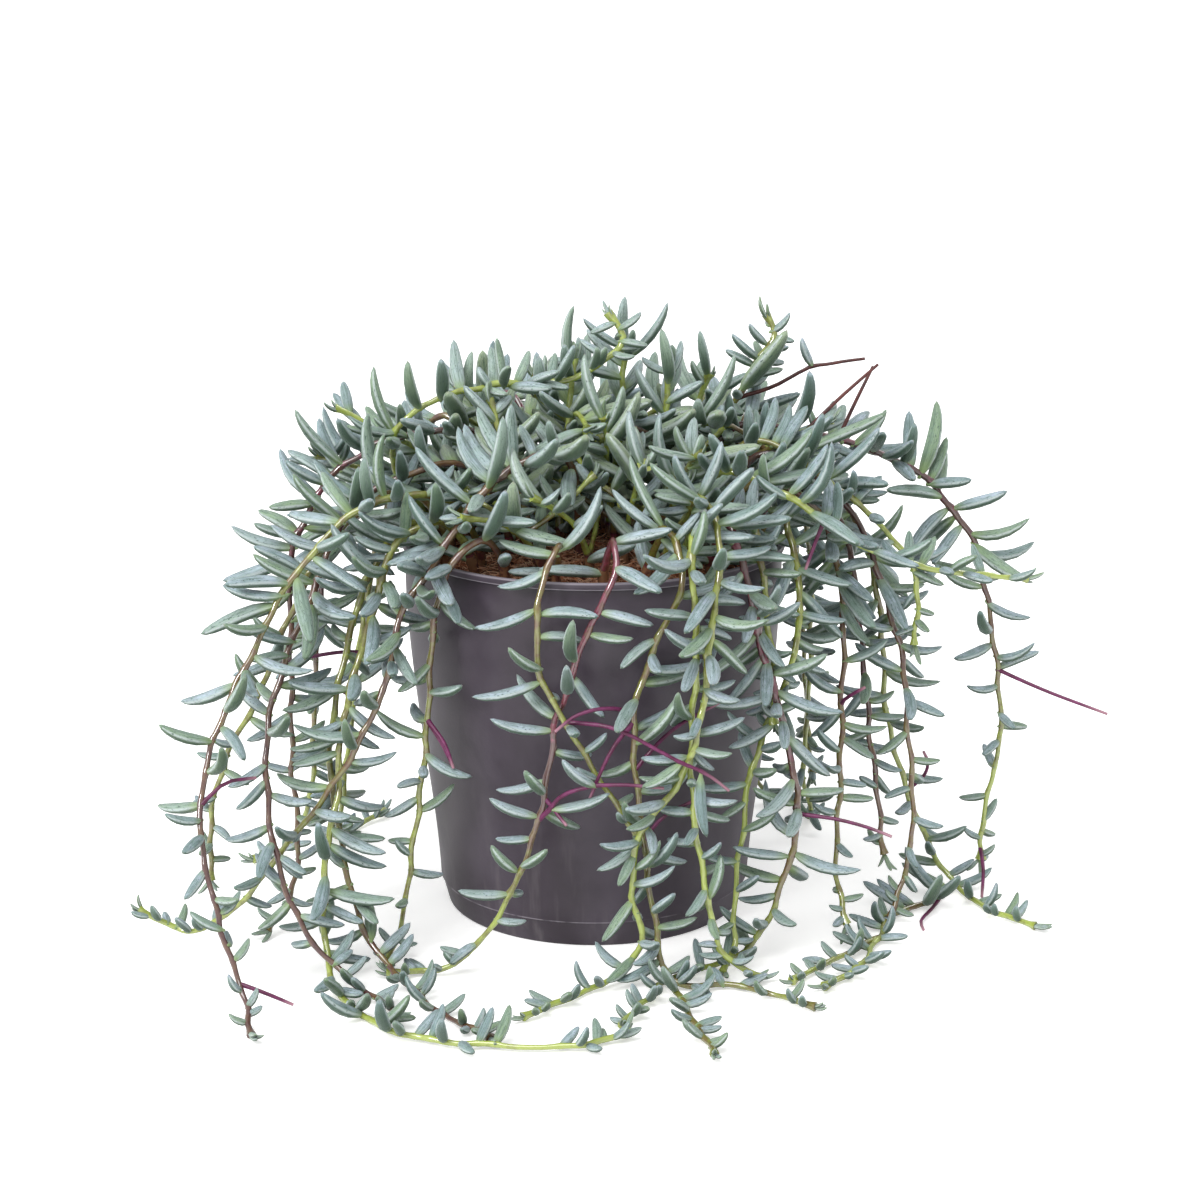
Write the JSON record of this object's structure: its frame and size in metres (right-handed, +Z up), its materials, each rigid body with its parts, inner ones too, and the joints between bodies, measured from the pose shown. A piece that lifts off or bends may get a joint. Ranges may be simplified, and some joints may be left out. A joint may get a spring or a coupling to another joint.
{
  "type": "potted trailing succulent",
  "caption": "Trailing string-of-fishhooks succulent in a tapered round plastic nursery pot: a dense heap of curved leaves over the rim, with long leafy stems hanging to the floor.",
  "frame": {"origin": "centre of the pot's underside, on the surface that it stands on", "axes": "+Z up along the pot's axis; -Y towards the camera of the reference picture, +X to its right"},
  "size_m": [0.3825, 0.3044, 0.2383],
  "materials": {
    "pot": "satin, dark purple-grey moulded plastic",
    "soil": "rough reddish brown coir mix",
    "plant": "waxy blue-green leaves on glossy yellow-green to brown stems"
  },
  "bodies": {
    "root": {"back_stem_1": "plant", "back_stem_10": "plant", "back_stem_2": "plant", "back_stem_3": "plant", "back_stem_4": "plant", "back_stem_5": "plant", "back_stem_6": "plant", "back_stem_7": "plant", "back_stem_8": "plant", "back_stem_9": "plant", "crown_runner": "plant", "crown_shoot_1": "plant", "crown_shoot_10": "plant", "crown_shoot_11": "plant", "crown_shoot_12": "plant", "crown_shoot_13": "plant", "crown_shoot_14": "plant", "crown_shoot_15": "plant", "crown_shoot_16": "plant", "crown_shoot_17": "plant", "crown_shoot_2": "plant", "crown_shoot_3": "plant", "crown_shoot_4": "plant", "crown_shoot_5": "plant", "crown_shoot_6": "plant", "crown_shoot_7": "plant", "crown_shoot_8": "plant", "crown_shoot_9": "plant", "front_stem_1": "plant", "front_stem_2": "plant", "front_stem_3": "plant", "front_stem_4": "plant", "front_stem_5": "plant", "front_stem_6": "plant", "front_stem_7": "plant", "left_stem_1": "plant", "left_stem_2": "plant", "left_stem_3": "plant", "left_stem_4": "plant", "left_stem_5": "plant", "left_stem_6": "plant", "left_stem_7": "plant", "left_stem_8": "plant", "pot": "pot", "right_stem_1": "plant", "right_stem_2": "plant", "right_stem_3": "plant", "right_stem_4": "plant", "right_stem_5": "plant", "right_stem_6": "plant", "right_stem_7": "plant", "right_stem_8": "plant", "soil": "soil"}
  },
  "joints": []
}
